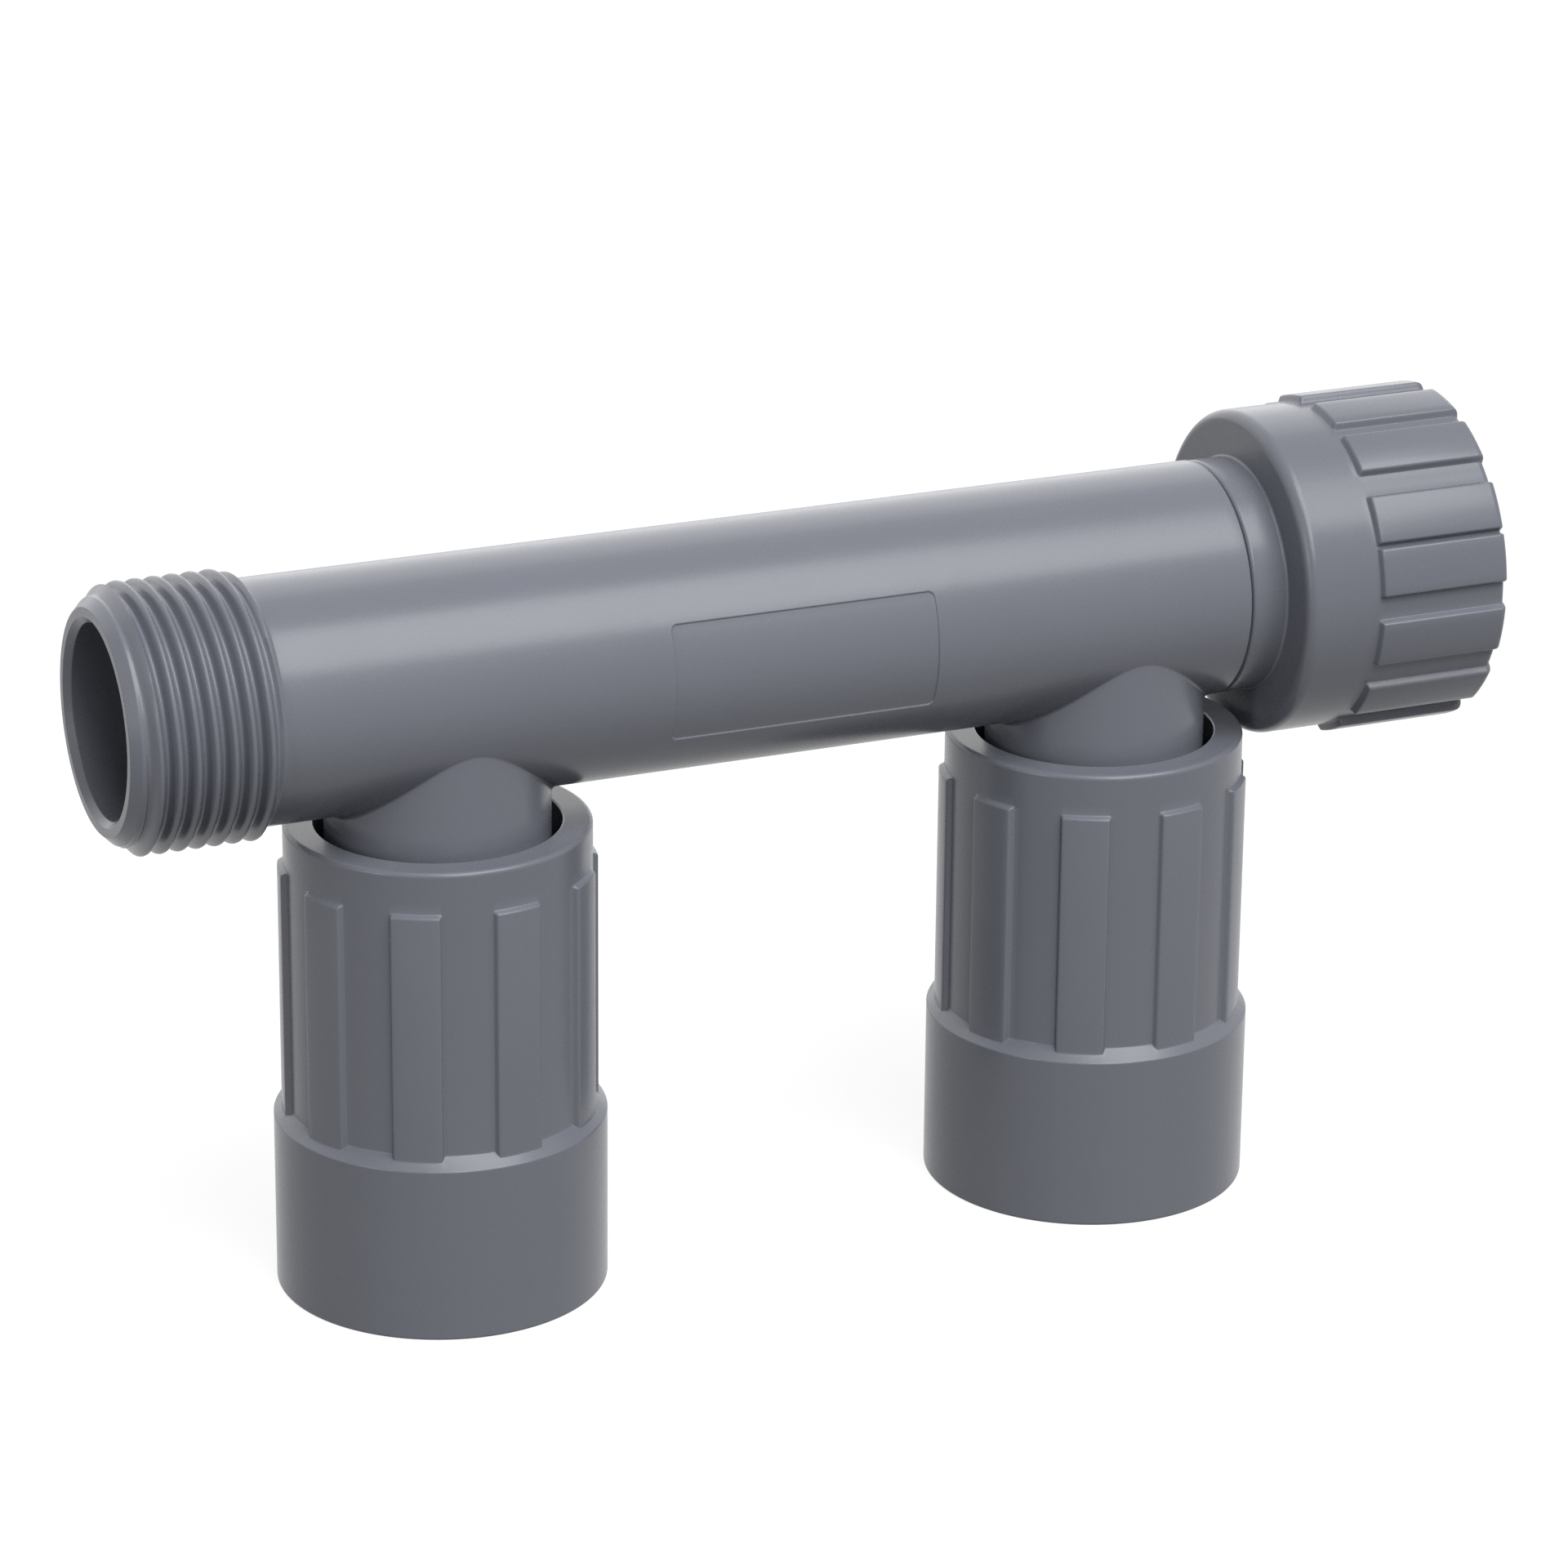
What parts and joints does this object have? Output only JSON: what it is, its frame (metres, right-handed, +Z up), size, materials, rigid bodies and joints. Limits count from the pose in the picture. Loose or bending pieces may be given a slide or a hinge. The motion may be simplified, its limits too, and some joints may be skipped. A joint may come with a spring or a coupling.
{
  "type": "irrigation valve manifold",
  "caption": "Grey plastic valve manifold: a run tube with a male pipe thread, swivel sockets hanging below it and a swivel union nut at its far end.",
  "frame": {"origin": "on the ground below the middle of the part's length, on the run tube's vertical plane", "axes": "+X along the run tube from the male thread to the union nut, +Z up from the sockets' mouths, -Y toward the label field"},
  "size_m": [0.1812, 0.0438, 0.1014],
  "materials": {
    "moulded_body": "satin moulded grey plastic",
    "moulded_nuts": "satin moulded grey plastic",
    "snap_ring": "ivory acetal, smooth",
    "gasket": "flat black rubber"
  },
  "bodies": {
    "manifold": {"manifold_body": "moulded_body", "left_snap_ring": "snap_ring", "left_gasket": "gasket", "right_snap_ring": "snap_ring", "right_gasket": "gasket", "union_snap_ring": "snap_ring", "union_gasket": "gasket"},
    "left_socket": {"left_swivel_socket": "moulded_nuts"},
    "right_socket": {"right_swivel_socket": "moulded_nuts"},
    "union": {"union_nut": "moulded_nuts"}
  },
  "joints": [
    {"name": "left_socket_swivel", "type": "hinge", "parent": "manifold", "child": "left_socket", "pos_m": [-0.0471, 0, 0.0306], "axis": [0, 0, 1], "continuous": true},
    {"name": "right_socket_swivel", "type": "hinge", "parent": "manifold", "child": "right_socket", "pos_m": [0.0429, 0, 0.0306], "axis": [0, 0, 1], "continuous": true},
    {"name": "union_nut_swivel", "type": "hinge", "parent": "manifold", "child": "union", "pos_m": [0.074, 0, 0.0795], "axis": [1, 0, 0], "continuous": true}
  ]
}
